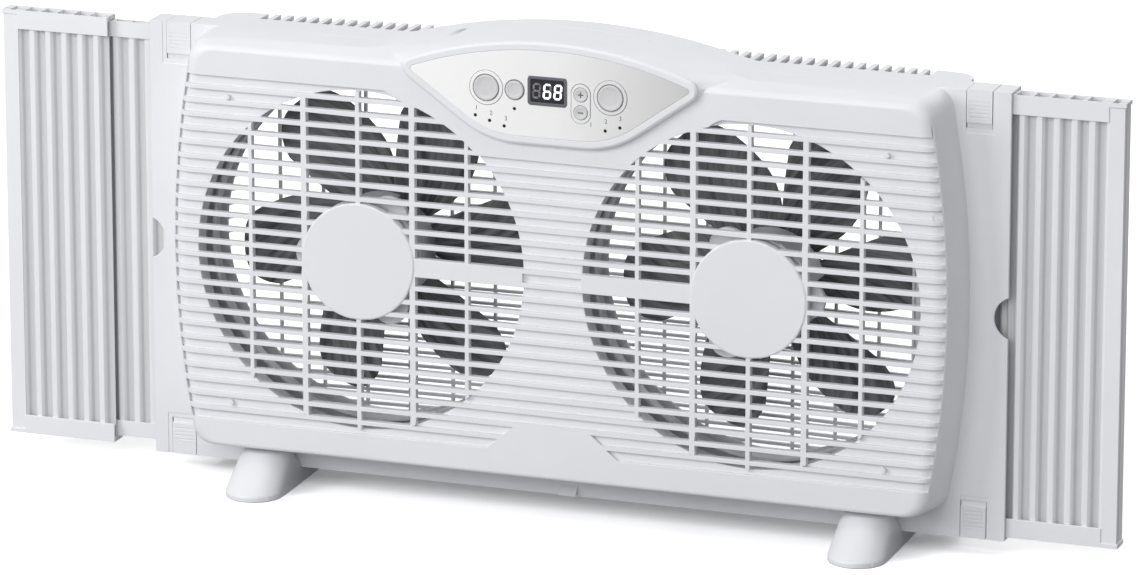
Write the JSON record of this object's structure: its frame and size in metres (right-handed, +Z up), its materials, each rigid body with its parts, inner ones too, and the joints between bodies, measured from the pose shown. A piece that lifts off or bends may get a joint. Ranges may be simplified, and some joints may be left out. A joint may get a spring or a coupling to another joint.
{
  "type": "window fan",
  "caption": "Twin reversible window fan in a slim white frame with slide-out side panels, push-button panel and clip-on feet.",
  "frame": {"origin": "middle of the frame's underside, halfway between the frame's front and back", "axes": "+X to the fan's right seen from the front, +Y towards the back, +Z up"},
  "size_m": [0.7906, 0.1245, 0.3325],
  "materials": {
    "white_plastic": "satin",
    "silver_lens": "silvery satin",
    "display_black": "gloss",
    "board_green": "solder mask",
    "indicator_dark": "gloss",
    "blade_grey": "satin",
    "lamination_steel": "plain",
    "screw_steel": "zinc",
    "bearing_bronze": "sintered",
    "grommet_rubber": "matt"
  },
  "bodies": {
    "housing": {"main_frame": "white_plastic", "front_cover": "white_plastic", "rear_grille": "white_plastic", "control_lens": "silver_lens", "display_window": "display_black", "display_module": "display_black", "control_board": "board_green", "led_pipes": "indicator_dark", "left_motor_housing": "white_plastic", "right_motor_housing": "white_plastic", "left_stator": "lamination_steel", "right_stator": "lamination_steel", "left_bearings": "bearing_bronze", "right_bearings": "bearing_bronze", "left_foot": "white_plastic", "right_foot": "white_plastic", "cord_gland": "grommet_rubber", "cover_screws": "screw_steel", "grille_screws": "screw_steel", "motor_screws": "screw_steel", "board_screws": "screw_steel", "foot_screws": "screw_steel"},
    "left_fan": {"left_rotor_shaft": "lamination_steel", "left_impeller": "blade_grey", "left_impeller_nut": "blade_grey"},
    "right_fan": {"right_rotor_shaft": "lamination_steel", "right_impeller": "blade_grey", "right_impeller_nut": "blade_grey"},
    "left_inner": {"left_inner_panel": "white_plastic"},
    "left_outer": {"left_outer_panel": "white_plastic"},
    "right_inner": {"right_inner_panel": "white_plastic"},
    "right_outer": {"right_outer_panel": "white_plastic"},
    "left_button_cap": {"left_button": "white_plastic"},
    "small_button_cap": {"small_button": "white_plastic"},
    "plus_button_cap": {"plus_button": "white_plastic"},
    "minus_button_cap": {"minus_button": "white_plastic"},
    "right_button_cap": {"right_button": "white_plastic"},
    "left_top_lock_slider": {"left_top_lock": "white_plastic"},
    "left_bottom_lock_slider": {"left_bottom_lock": "white_plastic"},
    "right_top_lock_slider": {"right_top_lock": "white_plastic"},
    "right_bottom_lock_slider": {"right_bottom_lock": "white_plastic"}
  },
  "joints": [
    {"name": "left_fan_spin", "type": "hinge", "parent": "housing", "child": "left_fan", "pos_m": [-0.137, 0.02, 0.1589], "axis": [0, 1, 0], "continuous": true},
    {"name": "right_fan_spin", "type": "hinge", "parent": "housing", "child": "right_fan", "pos_m": [0.137, 0.02, 0.1589], "axis": [0, 1, 0], "continuous": true},
    {"name": "left_inner_slide", "type": "slide", "parent": "housing", "child": "left_inner", "axis": [-1, 0, 0], "range_m": [-0.0566, 0.0217]},
    {"name": "left_outer_slide", "type": "slide", "parent": "left_inner", "child": "left_outer", "axis": [-1, 0, 0], "range_m": [-0.054, 0]},
    {"name": "right_inner_slide", "type": "slide", "parent": "housing", "child": "right_inner", "axis": [1, 0, 0], "range_m": [-0.022, 0.0563]},
    {"name": "right_outer_slide", "type": "slide", "parent": "right_inner", "child": "right_outer", "axis": [1, 0, 0], "range_m": [-0.054, 0]},
    {"name": "left_button_press", "type": "slide", "parent": "housing", "child": "left_button_cap", "axis": [0, 1, 0], "range_m": [0, 0.0008], "stiffness_N_per_m": 600},
    {"name": "small_button_press", "type": "slide", "parent": "housing", "child": "small_button_cap", "axis": [0, 1, 0], "range_m": [0, 0.0008], "stiffness_N_per_m": 600},
    {"name": "plus_button_press", "type": "slide", "parent": "housing", "child": "plus_button_cap", "axis": [0, 1, 0], "range_m": [0, 0.0008], "stiffness_N_per_m": 600},
    {"name": "minus_button_press", "type": "slide", "parent": "housing", "child": "minus_button_cap", "axis": [0, 1, 0], "range_m": [0, 0.0008], "stiffness_N_per_m": 600},
    {"name": "right_button_press", "type": "slide", "parent": "housing", "child": "right_button_cap", "axis": [0, 1, 0], "range_m": [0, 0.0008], "stiffness_N_per_m": 600},
    {"name": "left_top_lock_slide", "type": "slide", "parent": "housing", "child": "left_top_lock_slider", "axis": [0, 0, -1], "range_m": [0, 0.0032]},
    {"name": "left_bottom_lock_slide", "type": "slide", "parent": "housing", "child": "left_bottom_lock_slider", "axis": [0, 0, 1], "range_m": [0, 0.0032]},
    {"name": "right_top_lock_slide", "type": "slide", "parent": "housing", "child": "right_top_lock_slider", "axis": [0, 0, -1], "range_m": [0, 0.0032]},
    {"name": "right_bottom_lock_slide", "type": "slide", "parent": "housing", "child": "right_bottom_lock_slider", "axis": [0, 0, 1], "range_m": [0, 0.0032]}
  ]
}
